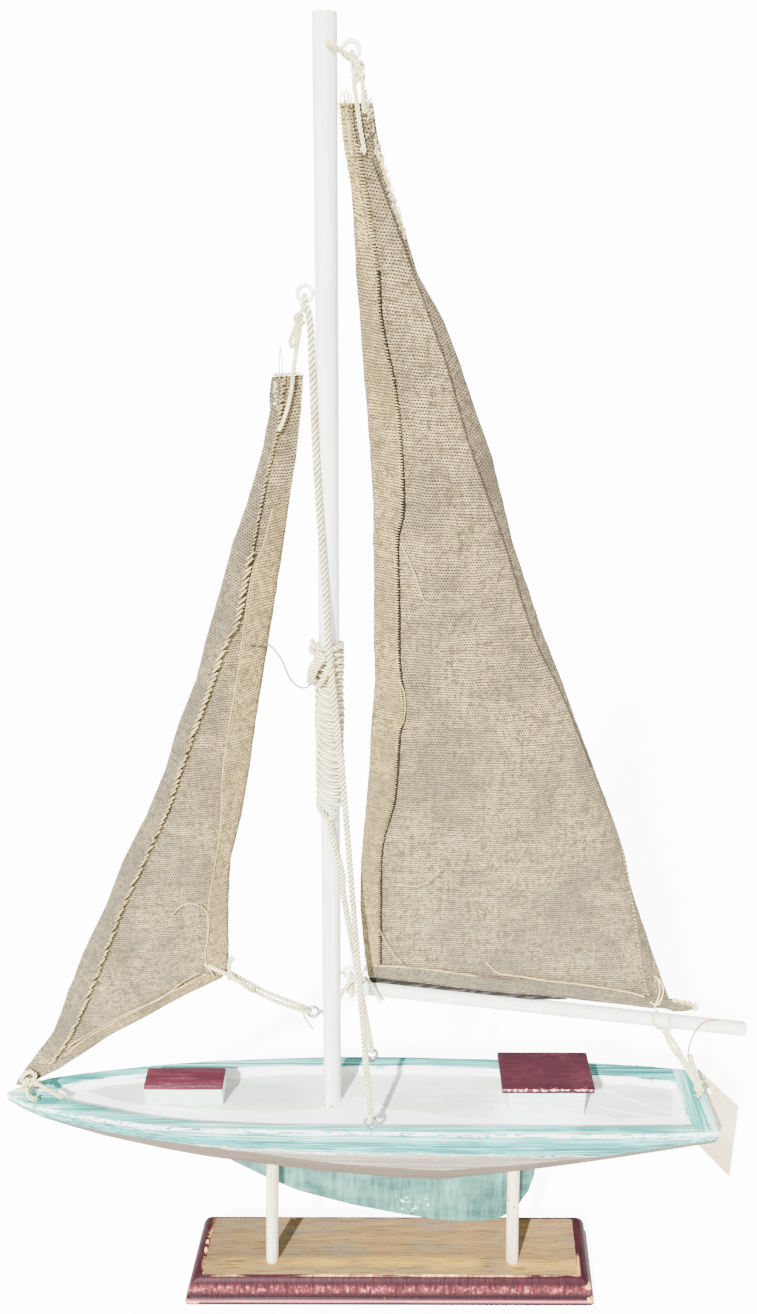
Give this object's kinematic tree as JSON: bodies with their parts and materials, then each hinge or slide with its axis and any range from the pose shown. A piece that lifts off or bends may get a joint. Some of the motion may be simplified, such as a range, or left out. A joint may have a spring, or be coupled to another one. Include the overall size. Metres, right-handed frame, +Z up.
{
  "type": "model sailboat",
  "caption": "Decorative wooden sailboat with linen sails, rope rigging and small deckhouses, held on posts above a moulded plinth.",
  "frame": {"origin": "centre of the plinth's underside", "axes": "+Z up, bow towards -X, stern towards +X, port side towards -Y"},
  "size_m": [0.3447, 0.0501, 0.561],
  "materials": {
    "paint_aqua": "brushed aqua paint over white, matt",
    "paint_burgundy": "chipped burgundy paint, satin",
    "paint_white": "thin white paint, matt",
    "wood_bare": "bare pale wood with burgundy painted mouldings",
    "rope_cotton": "twisted cotton rope",
    "linen": "coarse natural linen",
    "card": "plain blank card",
    "eye_metal": "wire, most of it brushed over with white paint"
  },
  "bodies": {
    "hull_and_stand": {"plinth": "wood_bare", "stand_post_fore": "paint_white", "stand_post_aft": "paint_white", "hull": "paint_aqua", "keel_fin": "paint_aqua", "fore_house": "paint_white", "fore_house_roof": "paint_burgundy", "aft_house": "paint_white", "aft_house_roof": "paint_burgundy", "mast": "paint_white", "eye_masthead": "eye_metal", "eye_jib_halyard": "eye_metal", "eye_jib_sheet": "eye_metal", "eye_gooseneck": "eye_metal", "eye_rail_port": "eye_metal", "eye_rail_starboard": "eye_metal", "eye_stern": "eye_metal", "eye_bow": "eye_metal", "mast_whipping": "rope_cotton", "shroud_port": "rope_cotton", "shroud_starboard": "rope_cotton", "jib": "linen", "jib_head_cord": "rope_cotton", "jib_tack_cord": "rope_cotton", "jib_sheet": "rope_cotton", "main_sheet": "rope_cotton", "swing_tag": "card", "tag_thread": "rope_cotton"},
    "boom_and_mainsail": {"boom": "paint_white", "main_sail": "linen", "main_head_cord": "rope_cotton", "tack_lashing": "rope_cotton", "clew_lashing": "rope_cotton"}
  },
  "joints": [
    {"name": "boom_swing", "type": "hinge", "parent": "hull_and_stand", "child": "boom_and_mainsail", "pos_m": [-0.02001, 0, 0.1866], "axis": [0.008, 0, 1], "range_deg": [-8, 8]}
  ]
}
